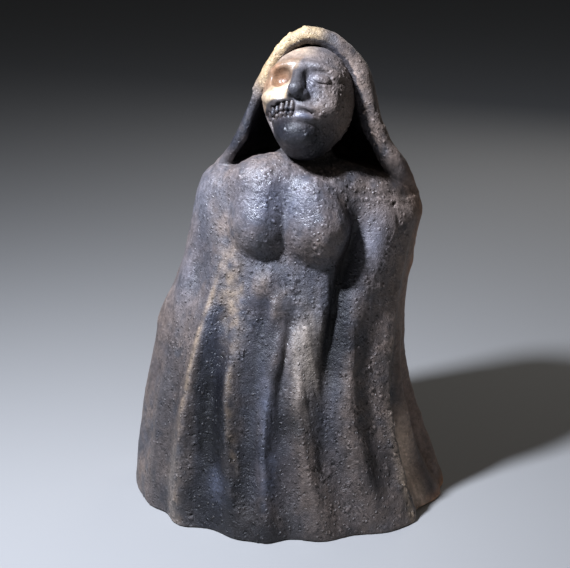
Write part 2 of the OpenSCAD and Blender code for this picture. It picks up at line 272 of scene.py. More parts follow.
def sheet(outer, inner, wrap):
    """Closed quads between two grids of points."""
    rows, cols = outer.shape[:2]
    pts = np.concatenate([outer.reshape(-1, 3), inner.reshape(-1, 3)])
    base = rows * cols
    face = grid_quads(rows, cols, wrap)
    quads = [face, base + face[:, [0, 3, 2, 1]]]
    c = np.arange(cols if wrap else cols - 1)
    d = (c + 1) % cols
    last = (rows - 1) * cols
    quads += [
        np.stack([c, d, base + d, base + c], -1),
        last + np.stack([d, c, base + c, base + d], -1),
    ]
    if not wrap:
        r = np.arange(rows - 1) * cols
        e = r + cols - 1
        quads += [
            np.stack([r + cols, r, base + r, base + r + cols], -1),
            np.stack([e, e + cols, base + e + cols, base + e], -1),
        ]
    return pts, np.concatenate(quads)


def tube(path, radius, across, sides=24):
    """A closed tube along a path, with a blunt tip at either end."""
    n = len(path)
    ahead = np.roll(path, -1, 0) - np.roll(path, 1, 0)
    ahead[0], ahead[-1] = path[1] - path[0], path[-1] - path[-2]
    ahead /= np.linalg.norm(ahead, axis=1)[:, None]
    side = np.cross(ahead, across)
    side /= np.linalg.norm(side, axis=1)[:, None]
    up = np.cross(side, ahead)
    k = np.radians(360 * np.arange(sides) / sides)
    radius = np.broadcast_to(radius, (n,))
    rings = path[:, None] + radius[:, None, None] * (
        np.cos(k)[None, :, None] * side[:, None] - np.sin(k)[None, :, None] * up[:, None]
    )
    pts = rings.reshape(-1, 3)
    first = path[0] - ahead[0] * radius[0] * 0.6
    last = path[-1] + ahead[-1] * radius[-1] * 0.6
    return np.concatenate([pts, [first, last]]), grid_quads(n, sides, True), tip_tris(n, sides)


# ---- clay as a field of distances
def join(a, b, k):
    """Smooth union of two distance fields."""
    h = np.maximum(k - np.abs(a - b), 0) / k
    return np.minimum(a, b) - h * h * k * 0.25


def carve(a, b, k):
    """Smooth difference: a without b."""
    h = np.maximum(k - np.abs(a + b), 0) / k
    return np.maximum(a, -b) + h * h * k * 0.25


def rotation(turn):
    """Turns by degrees given as (x, y, z): first about Y, then X, then Z."""
    x, y, z = (math.radians(v) for v in turn)
    about_x, about_y = Matrix.Rotation(x, 3, "X"), Matrix.Rotation(y, 3, "Y")
    return np.array(Matrix.Rotation(z, 3, "Z") @ about_x @ about_y)


class Clay:
    """Distances to the clay's surface on a grid. Lumps are joined to it and hollows cut from it."""

    def __init__(self, low, high, vox, band):
        self.vox, self.band = vox, band
        self.at = np.floor(np.array(low) / vox).astype(int)
        self.shape = np.ceil(np.array(high) / vox).astype(int) - self.at
        self.transform = openvdb.createLinearTransform(voxelSize=vox)
        self.d = np.full(self.shape, band * vox, np.float32)

    def window(self, low, high):
        """The part of the grid between two corners."""
        a = np.clip(np.floor(np.array(low) / self.vox).astype(int) - self.at, 0, self.shape - 2)
        b = np.clip(np.ceil(np.array(high) / self.vox).astype(int) - self.at, a + 1, self.shape)
        return tuple(slice(int(i), int(j)) for i, j in zip(a, b))

    def points(self, cut):
        """Coordinates of the grid's points in a window."""
        x, y, z = (
            ((np.arange(s.start, s.stop) + self.at[k]) * self.vox).astype(np.float32)
            for k, s in enumerate(cut)
        )
        return x[:, None, None], y[None, :, None], z[None, None, :]

    def lump(self, centre, radii, k, turn=(0, 0, 0), hollow=False):
        """Joins, or cuts, an ellipsoid."""
        reach = max(radii) + k + 1
        cut = self.window(np.array(centre) - reach, np.array(centre) + reach)
        x, y, z = self.points(cut)
        spin = rotation(turn).T
        x, y, z = x - centre[0], y - centre[1], z - centre[2]
        q = [spin[i, 0] * x + spin[i, 1] * y + spin[i, 2] * z for i in range(3)]
        k0 = np.sqrt(sum((q[i] / radii[i]) ** 2 for i in range(3))) + 1e-6
        k1 = np.sqrt(sum((q[i] / radii[i] ** 2) ** 2 for i in range(3))) + 1e-6
        dist = k0 * (k0 - 1) / k1
        self.d[cut] = (carve if hollow else join)(self.d[cut], dist, k)

    def rod(self, start, end, r0, r1, k, hollow=False):
        """Joins, or cuts, a rounded rod whose radius runs from r0 to r1."""
        start, end = np.array(start, float), np.array(end, float)
        reach = max(r0, r1) + k + 1
        cut = self.window(np.minimum(start, end) - reach, np.maximum(start, end) + reach)
        x, y, z = self.points(cut)
        way = end - start
        t = ((x - start[0]) * way[0] + (y - start[1]) * way[1] + (z - start[2]) * way[2]) / (way @ way)
        t = np.clip(t, 0, 1)
        far = np.sqrt(sum((v - start[i] - t * way[i]) ** 2 for i, v in enumerate((x, y, z))))
        self.d[cut] = (carve if hollow else join)(self.d[cut], far - mix(r0, r1, t), k)

    def model(self, pts, quads, tris=(), k=1.0):
        """Joins a closed mesh."""
        reach = self.band * self.vox + k
        cut = self.window(pts.min(0) - reach, pts.max(0) + reach)
        faces = {"quads": np.ascontiguousarray(quads, np.uint32)}
        if len(tris):
            faces["triangles"] = np.ascontiguousarray(tris, np.uint32)
        grid = openvdb.FloatGrid.createLevelSetFromPolygons(
            np.ascontiguousarray(pts, np.float32), transform=self.transform, halfWidth=self.band, **faces
        )
        dist = np.zeros([s.stop - s.start for s in cut], np.float32)
        grid.copyToArray(dist, ijk=tuple(int(v) for v in self.at + [s.start for s in cut]))
        self.d[cut] = join(self.d[cut], dist, k)

    def soften(self, times):
        for _ in range(times):
            for axis in range(3):
                self.d = np.moveaxis(self.d, axis, 0)
                self.d[1:-1] = (self.d[:-2] + self.d[2:] + 2 * self.d[1:-1]) * 0.25
                self.d = np.moveaxis(self.d, 0, axis)

    def mesh(self):
        grid = openvdb.FloatGrid(self.band * self.vox)
        grid.copyFromArray(np.ascontiguousarray(self.d), ijk=tuple(int(v) for v in self.at))
        grid.transform = self.transform
        pts, quads = grid.convertToQuads(isovalue=0.0)
        return pts.astype(float), quads.astype(np.int32)


# ---- meshes and cuts, in millimetres
def mesh_of(name, pts, faces, tris=()):
    me = bpy.data.meshes.new(name)
    n, m = len(faces), len(tris)
    me.vertices.add(len(pts))
    me.vertices.foreach_set("co", np.ascontiguousarray(pts, np.float32).ravel())
    me.loops.add(n * 4 + m * 3)
    me.polygons.add(n + m)
    corners = np.concatenate([np.asarray(faces, np.int32).ravel(), np.asarray(tris, np.int32).ravel()])
    me.loops.foreach_set("vertex_index", corners.astype(np.int32))
    starts = np.concatenate([np.arange(n) * 4, n * 4 + np.arange(m) * 3])
    me.polygons.foreach_set("loop_start", starts.astype(np.int32))
    me.update(calc_edges=True)
    return me


def thing(name, me):
    ob = bpy.data.objects.new(name, me)
    bpy.context.scene.collection.objects.link(ob)
    return ob


def cutter_of(pts, faces, tris=()):
    """A closed mesh to cut with, turned so that its faces look outwards."""
    faces, tris = np.asarray(faces, int).reshape(-1, 4), np.asarray(tris, int).reshape(-1, 3)
    all_tris = np.concatenate([faces[:, [0, 1, 2]], faces[:, [0, 2, 3]], tris])
    a, b, c = (pts[all_tris[:, k]] for k in range(3))
    if (a * np.cross(b, c)).sum() < 0:
        faces, tris = faces[:, ::-1], tris[:, ::-1]
    return thing("cutter", mesh_of("cutter", pts, faces, tris))


def cut_out(rest, cutter, name):
    """Returns what lies inside the cutter as a mesh called name. What lies outside stays in rest."""
    made = []
    for what in ("INTERSECT", "DIFFERENCE"):
        m = rest.modifiers.new("cut", "BOOLEAN")
        m.operation, m.solver, m.object = what, "MANIFOLD", cutter
        cut = rest.evaluated_get(bpy.context.evaluated_depsgraph_get())
        made.append(bpy.data.meshes.new_from_object(cut))
        rest.modifiers.clear()
    rest.data = made[1]
    made[0].name = name
    bpy.data.objects.remove(cutter)
    return made[0]


def coords(me):
    co = np.empty(len(me.vertices) * 3, np.float32)
    me.vertices.foreach_get("co", co)
    return co.reshape(-1, 3).astype(float)


def normals(me):
    no = np.empty(len(me.vertices) * 3, np.float32)
    me.vertex_normals.foreach_get("vector", no)
    return no.reshape(-1, 3).astype(float)


def ball(centre, radii, turn=(0, 0, 0)):
    """A closed ellipsoid to cut with."""
    lat = np.radians(np.linspace(-86, 86, 26))
    lon = np.radians(np.arange(0, 360, 9))
    up, out = np.sin(lat)[:, None], np.cos(lat)[:, None]
    p = np.stack([out * np.sin(lon), -out * np.cos(lon), up + 0 * lon], -1).reshape(-1, 3) * radii
    p = p @ rotation(turn).T + centre
    rows, cols = len(lat), len(lon)
    p = np.concatenate([p, [p[:cols].mean(0), p[-cols:].mean(0)]])
    return cutter_of(p, grid_quads(rows, cols, True)[:, ::-1], tip_tris(rows, cols)[:, ::-1])


# ---- the body, hood and shoulders as one piece of clay
def drape(inset, step, rows):
    a = np.arange(0, 360, step)
    z = np.linspace(0, 1, rows)[:, None] * top_z(a, inset)[None, :]
    return skin(np.broadcast_to(a, z.shape), z, inset)


def neck_ring(a, radius, z):
    s, c = np.sin(np.radians(a)), np.cos(np.radians(a))
    return np.stack([NECK[0] + radius * s, NECK[1] - radius * c, z + 0 * a], -1)


def shelf(inset, under, step=3.0):
    """The shoulders, from the top of the body in to the neck."""
    a = np.arange(0, 360, step)[None, :]
    t = np.linspace(0, 1, 16)[:, None]
    z = top_z(a, inset)
    edge = skin(a, z, inset)
    p = edge + (neck_ring(a, 11.5, z) - edge) * (1 - np.cos(np.pi / 2 * t))[..., None]
    up = z + (NECK[2] - z) * np.sin(np.pi / 2 * t) ** 0.8
    p[..., 2] = np.maximum(z, up - under)
    return np.concatenate([p, neck_ring(a, 3, NECK[2] - under)])


def hood_sheet(out, thick, rows=90, cols=121, top=0.985):
    s = np.linspace(0, top, rows)[:, None]
    u = np.linspace(1, 0, cols)[None, :] * np.ones_like(s)
    s = s * np.ones_like(u)
    return sheet(hood_at(s, u, -out), hood_at(s, u, thick), False)


def rim_tube(extra):
    s = np.linspace(0.0, 0.965, 60)
    right = hood_at(s, np.zeros_like(s), HOOD_SLAB / 2)
    left = hood_at(s[::-1], np.ones_like(s), HOOD_SLAB / 2)
    path = np.concatenate([right, left])
    k = np.linspace(0, 1, len(path))
    radius = np.interp(k, RIM_RADIUS[0], RIM_RADIUS[1]) + extra
    wave = 0.35 * np.sin(k * 23) + 0.25 * np.sin(k * 41 + 1)
    return tube(path, radius + wave, np.array([0, 1.0, 0]))


# Along the rim, from the foot of its right side over the top to the foot of its left side: place and radius
RIM_RADIUS = [[0, 0.12, 0.3, 0.5, 0.62, 0.78, 0.9, 1], [1.9, 2.2, 2.8, 4.4, 4.6, 5.3, 4.8, 3.0]]
# Breasts: angle, height, radii across, along and out, and how far down they hang
BREASTS = {
    "breast_right": [-24.5, 141.0, (13.6, 14.0, 16.5), 14],
    "breast_left": [3.5, 139.5, (15.6, 14.6, 17.5), 12],
}


def breast_place(a, z):
    """Where a breast sits, and the angle it faces."""
    a, z = np.array(a, float), np.array(z, float)
    seat = skin(a, z, 4.0)
    out = skin(a, z, 0.0) - skin(a, z, 1.0)
    return seat, math.degrees(math.atan2(out[0], -out[1]))


def build_body(vox):
    clay = Clay([-86, -76, -6], [88, 76, 236], vox, 9)
    cols = 0.9 if vox < 1 else 1.8
    rows = int(160 / vox / 2.2)
    clay.model(*sheet(drape(0.0, cols, rows), drape(SLAB, cols, rows), True), k=0.5)
    clay.model(*sheet(shelf(1.0, 0.0), shelf(SLAB, 5.0), True), k=3.0)
    clay.rod(NECK + (0, 1, -4), NECK + (0.5, -1, 17), 12.5, 10.5, 5.0)
    for a, z, radii, lean in BREASTS.values():
        seat, yaw = breast_place(a, z)
        clay.lump(seat, radii, 3.2, turn=(lean, 0, yaw))
        clay.lump(seat + (1.5 if a < 0 else -2.5, 2.0, 13), (9.5, 8.0, 12), 10.0, turn=(26, 0, yaw))
    clay.lump((-8, -18, 161), (18, 13, 11), 7.0)
    clay.lump((18, -16, 159), (15, 12, 9), 7.0)
    clay.model(*hood_sheet(0.0, HOOD_SLAB), k=2.5)
    clay.model(*rim_tube(0.0), k=1.6)
    clay.soften(1)
    return clay.mesh()


def rough_front(a):
    """How coarse the clay is at an angle: 1 on the front of the gown, little on the back."""
    front = ease((76 - np.abs(off_angle(a, -8))) / 22)
    side = 0.45 * ease((125 - np.abs(off_angle(a, -8))) / 40)
    return np.maximum(np.maximum(front, side), 0.18)


def angle_of(p):
    """The angle of points round the body."""
    b = curve(BODY, np.clip(p[:, 2], 0, BODY_TOP))
    x = (p[:, 0] - b[:, 1]) / b[:, 2]
    y = -p[:, 1] / np.where(p[:, 1] < 0, b[:, 3], b[:, 4])
    return np.degrees(np.arctan2(x, y))


def surface(p, rough):
    """Height of the worked surface: finger marks, drag lines, crumbs of grog and pits."""
    up = 0.95 * fractal(p, 17, 3) + 0.55 * noise(p * (1, 1, 0.75), 6.5, 5)
    patch = ease(0.45 + 1.3 * fractal(p, 19, 6))
    drag = noise(p * (1, 1, 0.1), 2.6, 8) * 0.22 + noise(p * (1, 1, 0.16), 1.5, 9) * 0.12
    torn = p + 0.7 * np.stack([noise(p, 1.9, 50 + k) for k in range(3)], -1)
    crumbs = grains(torn, 2.5, 0.4, 1.25, 0.5, 1) * 0.6 + 0.9 * np.maximum(fractal(torn, 2.6, 30) - 0.2, 0)
    pits = grains(torn, 3.4, 0.5, 1.3, 0.35, 4) * 0.55 + 0.9 * np.maximum(fractal(torn, 2.9, 34) - 0.24, 0)
    return up + rough * (drag * (1 - 0.5 * patch) + (crumbs - pits) * (0.4 + 0.8 * patch))


def work_body(me):
    p, n = coords(me), normals(me)
    rough = rough_front(angle_of(p))
    burnish = burnished(p)
    up = surface(p, rough * (1 - 0.5 * burnish))
    up *= ease((p[:, 2] + 1) / 4)
    p += n * up[:, None]
    p[:, 2] = np.maximum(p[:, 2], 0)
    me.vertices.foreach_set("co", p.astype(np.float32).ravel())
    me.update()


def spot(p, centre, radii):
    """1 at a place, falling smoothly to 0 around it."""
    q = (p - np.array(centre)) / np.array(radii)
    return np.exp(-(q * q).sum(1))


def dabs(colour, p, small, mottle, rows, mask=1.0):
    """Soft patches of paint. Rows: paint, place, radii, strength, and how far each noise sways it."""
    for paint, place, radii, strength, by_small, by_mottle in rows:
        sway = strength + by_small * small + by_mottle * mottle
        colour = blend(colour, paint, mask * spot(p, place, radii) * sway)
    return colour


def burnished(p):
    """Where the clay was rubbed to a shine: breasts, top of the chest and some folds."""
    places = [
        [(-18, -48, 149), (9, 16, 10)], [(9, -50, 149), (10, 16, 8)], [(-4, -40, 163), (17, 16, 8)],
        [(-42, -20, 154), (13, 22, 9)],
        [(34, -40, 140), (12, 16, 12)], [(-14, -50, 108), (9, 20, 7)], [(-2, -50, 92), (5, 20, 22)],
        [(-9, -62, 34), (7, 20, 14)], [(-33, -45, 80), (5, 20, 22)], [(-42, -30, 130), (8, 20, 18)],
    ]
    return np.clip(sum(spot(p, c, r) for c, r in places), 0, 1)


# ---- parting the clay into its pieces
# Angle of each upright seam at the hem and near the top
SEAMS = {
    "front_right": [-36, -38.5], "front_left": [55, 70],
    "side_right": [-104, -100], "side_left": [100, 98],
}
WAIST = 104.0


def wedge(from_seam, to_seam, low=-6.0, high=172.0):
    """A closed block over the sector between two seams, to cut with."""
    z = np.linspace(low, high, 19)[:, None]
    t = np.linspace(0, 1, 25)[None, :]
    a0, a1 = (mix(s[0], s[1], z / 150) for s in (from_seam, to_seam))
    a = mix(a0, a1, t)
    b = curve(BODY, np.clip(z, 0, BODY_TOP) * np.ones_like(t))
    depth = np.where(np.cos(np.radians(a)) > 0, b[..., 3], b[..., 4])
    s, c = np.sin(np.radians(a)), np.cos(np.radians(a))
    p = np.stack([b[..., 1] + 1.6 * b[..., 2] * s, -1.6 * depth * c, z + 0 * a], -1)
    middle = np.stack([b[:, :1, 1], 0 * z, z], -1)
    p = np.concatenate([middle, p], 1)
    rows, cols = p.shape[:2]
    fan = np.arange(1, cols - 1)
    last = (rows - 1) * cols
    caps = np.concatenate([
        np.stack([0 * fan, fan + 1, fan], -1), last + np.stack([0 * fan, fan, fan + 1], -1)
    ])
    return cutter_of(p.reshape(-1, 3), grid_quads(rows, cols, True)[:, ::-1], caps)


def block(low, high, tilt=0.0):
    """A closed box to cut with; tilt is the slope of its underside towards +X."""
    x, y, z = zip(low, high)
    p = [[i, j, k + (tilt * i if k == z[0] else 0)] for i in x for j in y for k in z]
    f = [[0, 1, 3, 2], [4, 6, 7, 5], [0, 4, 5, 1], [2, 3, 7, 6], [0, 2, 6, 4], [1, 5, 7, 3]]
    return cutter_of(np.array(p, float), f)


def part_body(pts, quads):
    rest = thing("clay", mesh_of("clay", pts, quads))
    work_body(rest.data)
    made = {}
    made["hood_rim"] = cut_out(rest, cutter_of(*rim_tube(1.1)), "hood_rim")
    made["hood"] = cut_out(rest, cutter_of(*hood_sheet(3.0, HOOD_SLAB + 3.0, 40, 61, 0.995)), "hood")
    over_neck = block(NECK + (-15, -15, 1), (NECK[0] + 15, NECK[1] + 15, 190))
    made["neck"] = cut_out(rest, over_neck, "neck")
    for name, (a, z, radii, lean) in BREASTS.items():
        seat, yaw = breast_place(a, z)
        made[name] = cut_out(rest, ball(seat, np.array(radii) + 1.8, (lean, 0, yaw)), name)
    over_body = block((-90, -90, plane_z(0)), (90, 90, 200), -TOP_SLOPE)
    made["shoulder_shelf"] = cut_out(rest, over_body, "shoulder_shelf")
    front = cut_out(rest, wedge(SEAMS["front_right"], SEAMS["front_left"]), "front")
    made["cloak_right"] = cut_out(rest, wedge(SEAMS["side_right"], SEAMS["front_right"]), "cloak_right")
    made["cloak_left"] = cut_out(rest, wedge(SEAMS["front_left"], SEAMS["side_left"]), "cloak_left")
    made["cloak_back_left"] = cut_out(rest, wedge(SEAMS["side_left"], [180, 180]), "cloak_back_left")
    made["cloak_back_right"] = rest.data
    front = thing("front", front)
    made["bodice"] = cut_out(front, block((-90, -90, WAIST), (90, 90, 200)), "bodice")
    made["skirt_front"] = front.data
    bpy.data.objects.remove(front)
    bpy.data.objects.remove(rest)
    return made


# ---- the head, in its own upright frame: front is -Y
HEAD = np.array([8.5, -13.0, 194.5])
HEAD_TILT, HEAD_TURN = 42.0, 16.0
HALF = np.array([20.5, 22.0, 26.5])
EYE_Z, NOSE_Z, MOUTH_Z = 0.0, -8.0, -15.4
TEETH = 6
FIRST_TOOTH, TOOTH_PITCH = -1.3, 2.35


def jaw_width(z):
    """How wide the head is at a height, as a share: it narrows towards the chin."""
    return 1 - 0.26 * ease(-z / HALF[2] * 1.15)


def front_y(x, z):
    """Y of the plain head's front over a point, before the features."""
    k = 1 - (x / (HALF[0] * jaw_width(z))) ** 2 - (z / HALF[2]) ** 2
    return -HALF[1] * math.sqrt(max(k, 0.02)) ** 0.85


def on_face(x, z, proud=0.0):
    return np.array([x, front_y(x, z) - proud, z])


def build_head(vox):
    clay = Clay([-26, -34, -31], [26, 26, 31], vox, 8)
    x, y, z = clay.points(clay.window([-26, -34, -31], [26, 26, 31]))
    jaw = jaw_width(z)
    q = [x / (HALF[0] * jaw), y / HALF[1], z / HALF[2]]
    k0 = np.sqrt(sum(np.abs(v) ** 2.3 for v in q)) ** (2 / 2.3) + 1e-6
    clay.d = ((k0 - 1) * HALF[0] * 0.95 * np.minimum(jaw + 0.1, 1)).astype(np.float32)

    # Both halves: brow, forehead, chin, nose
    for side in (-1, 1):
        clay.lump(on_face(side * 8.5, 6.0, -1.6), (8.5, 3.2, 2.4), 2.5, turn=(0, side * 8, side * 22))
    clay.lump(on_face(1, -22.5, -3.2), (6.8, 5.0, 4.6), 4.0)
    clay.rod(on_face(0.2, 5.5, -0.8), on_face(0.5, NOSE_Z + 1, 3.0), 1.9, 2.9, 2.2)
    clay.lump(on_face(0.5, NOSE_Z, 2.6), (3.4, 3.4, 3.0), 1.2)
    clay.lump(on_face(3.6, NOSE_Z - 0.6, 0.4), (2.3, 2.9, 2.1), 1.2)
    clay.lump(on_face(-2.6, NOSE_Z - 0.6, 0.2), (1.9, 2.6, 1.9), 1.2)
    for x0 in (2.2, -1.4):
        clay.lump(on_face(x0, NOSE_Z - 2.9, 2.2), (0.85, 1.5, 1.1), 0.4, hollow=True)

    # Living half: closed eye, cheek and lips
    clay.lump(on_face(9.0, EYE_Z, 0.6), (7.0, 2.2, 4.2), 2.0, turn=(0, 0, 20), hollow=True)
    clay.lump(on_face(9.0, EYE_Z, -1.8), (4.9, 3.5, 3.1), 0.8, turn=(0, 0, 20))
    lid_line = ((4.6, -0.6), (6.8, -1.9), (9.2, -2.3), (11.4, -1.8), (13.4, -0.5))
    lid = [on_face(x0, EYE_Z + h, 0.4) for x0, h in lid_line]
    for a, b in zip(lid, lid[1:]):
        clay.rod(a, b, 0.42, 0.42, 0.3, hollow=True)
    for a, b in zip(lid, lid[1:]):
        clay.rod(a + (0, 0.6, -1.1), b + (0, 0.6, -1.1), 0.55, 0.55, 0.9)
    clay.lump(on_face(11.5, -9.5, -3.2), (6.5, 5.0, 6.0), 3.5)
    clay.lump(on_face(4.6, MOUTH_Z + 1.9, -0.9), (5.6, 2.5, 1.5), 1.0, turn=(0, 4, 12))
    clay.lump(on_face(4.4, MOUTH_Z - 2.0, -1.0), (5.0, 2.9, 1.9), 1.0, turn=(0, -4, 12))
    for x0, z0, proud0, x1, z1, proud1 in ((-0.5, -0.1, 1.7, 5.0, 0.1, 1.5), (5.0, 0.1, 1.4, 9.8, 0.5, 0.4)):
        start, end = on_face(x0, MOUTH_Z + z0, proud0), on_face(x1, MOUTH_Z + z1, proud1)
        clay.rod(start, end, 0.5, 0.5, 0.5, hollow=True)

    # Bone half: socket, cheekbone, hollow cheek, bared jaws
    clay.lump(on_face(-9.2, EYE_Z + 0.3, 1.2), (5.6, 5.6, 4.7), 1.2, turn=(0, -8, -20), hollow=True)
    clay.lump(on_face(-11.3, -7.6, -3.0), (6.6, 4.9, 3.7), 1.6, turn=(0, 10, -24))
    clay.lump(on_face(-7.5, -10.2, -3.2), (4.6, 4.4, 3.4), 1.6, turn=(0, 0, -12))
    clay.lump(on_face(-14.0, -14.5, 1.0), (3.6, 3.4, 4.8), 1.6, turn=(0, 0, -35), hollow=True)
    for x0 in (-1.6, -4.4, -7.2, -10.0, -12.4):
        clay.lump(on_face(x0, MOUTH_Z, 1.6), (2.4, 3.0, 4.1), 0.8, hollow=True)
    clay.soften(1)
    return clay.mesh()


def build_teeth(vox, upper):
    """A row of teeth as one mesh, each a rounded block set in the jaw."""
    clay = Clay([-20, -30, -24], [3, -8, -8], vox, 8)
    clay.d[:] = 4
    for i in range(TEETH):
        x0 = FIRST_TOOTH - TOOTH_PITCH * i
        root = MOUTH_Z + (4.4 if upper else -4.6)
        tip = MOUTH_Z + (0.9 if upper else -1.0) + 0.25 * math.sin(7 * i)
        lean = 0.12 * math.sin(5 * i + (2 if upper else 0))
        size = 1.05 + 0.1 * math.cos(3 * i + 1)
        out = -0.6
        start, end = on_face(x0, root, out - 0.5), on_face(x0 + lean, tip, out + 0.5)
        clay.rod(start, end, size * 0.9, size, 0.2)
        clay.lump(on_face(x0 + lean, tip, out + 0.4), (size * 1.1, size * 1.15, size), 0.4)
    return clay.mesh()


def part_head(pts, quads):
    rest = thing("clay", mesh_of("clay", pts, quads))
    p, n = coords(rest.data), normals(rest.data)
    living = ease((p[:, 0] + 1.5) / 3)
    back = ease((p[:, 1] + 6) / 8)
    rough = np.maximum(living * 0.75 * ease((p[:, 0] - 3) / 8), back * 0.3) + 0.1
    rough = rough + 0.35 * ease((-17 - p[:, 2]) / 4)
    up = 0.28 * fractal(p, 9, 3) + 0.12 * noise(p, 3.2, 5)
    crumbs = grains(p, 2.2, 0.4, 1.1, 0.6, 7) - grains(p, 2.8, 0.4, 1.0, 0.4, 8)
    up += rough * (crumbs * 0.6 + 0.12 * noise(p, 1.1, 3))
    p += n * up[:, None]
    rest.data.vertices.foreach_set("co", p.astype(np.float32).ravel())
    rest.data.update()
    made = {}
    bridge = [on_face(0.1, 8.0, -1.0), on_face(0.4, 0, 0.5)]
    tip = [on_face(0.5, NOSE_Z + 1, 2.2), on_face(0.5, NOSE_Z - 3.2, 1.6)]
    made["nose"] = cut_out(rest, cutter_of(*tapered_tube(bridge + tip, (2.6, 3.4, 6.0, 4.6))), "nose")
    over_eye = ball(on_face(9.0, EYE_Z - 0.2, -1.8), (5.5, 4.3, 3.2), (0, 0, 20))
    made["eyelid"] = cut_out(rest, over_eye, "eyelid")
    over_mouth = ball(on_face(4.6, MOUTH_Z, -0.9), (6.4, 3.6, 4.1), (0, 0, 12))
    made["lips"] = cut_out(rest, over_mouth, "lips")
    face = cut_out(rest, block((-30, -40, -24.5), (30, -7, 22)), "face")
    face = thing("face", face)
    made["face_living_half"] = cut_out(face, block((0, -50, -40), (40, 20, 40)), "face_living_half")
    made["face_bone_half"] = face.data
    made["head_core"] = rest.data
    bpy.data.objects.remove(face)
    bpy.data.objects.remove(rest)
    return made


def tapered_tube(path, radii, sides=20):
    """A closed tube through a few points, with a radius at each."""
    path = np.array(path)
    t = np.linspace(0, 1, 24)
    knots = np.linspace(0, 1, len(path))
    p = np.stack([np.interp(t, knots, path[:, i]) for i in range(3)], -1)
    return tube(p, np.interp(t, knots, radii), np.array([1.0, 0, 0]), sides)


# ---- colour, painted light and shade, and finish, by place on the figure
SMOKE = np.array([0.070, 0.065, 0.069])
SOOT = np.array([0.018, 0.018, 0.023])
BLUE = np.array([0.040, 0.044, 0.060])
BROWN = np.array([0.170, 0.128, 0.104])
TAN = np.array([0.390, 0.290, 0.200])
ORANGE = np.array([0.350, 0.170, 0.085])
CREAM = np.array([0.640, 0.490, 0.320])
PALE = np.array([0.420, 0.350, 0.290])


def blend(under, over, amount):
    return under + (over - under) * np.clip(amount, 0, 1)[:, None]


def bend(me, p, n):
    """How sharply the surface bulges, positive, or dips, negative, at each vertex."""
    e = np.empty(len(me.edges) * 2, np.int32)
    me.edges.foreach_get("vertices", e)
    e = e.reshape(-1, 2)
    a, b = e[:, 0], e[:, 1]
    m = len(p)
    count = np.bincount(a, minlength=m) + np.bincount(b, minlength=m)
    mean = np.stack([
        np.bincount(a, p[b, k], m) + np.bincount(b, p[a, k], m) for k in range(3)
    ], -1) / np.maximum(count, 1)[:, None]
    return ((p - mean) * n).sum(1)


def band(a, at, wide):
    """1 along a line of angles, falling smoothly to 0 on either side."""
    return np.exp(-((off_angle(a, at) / wide) ** 2))


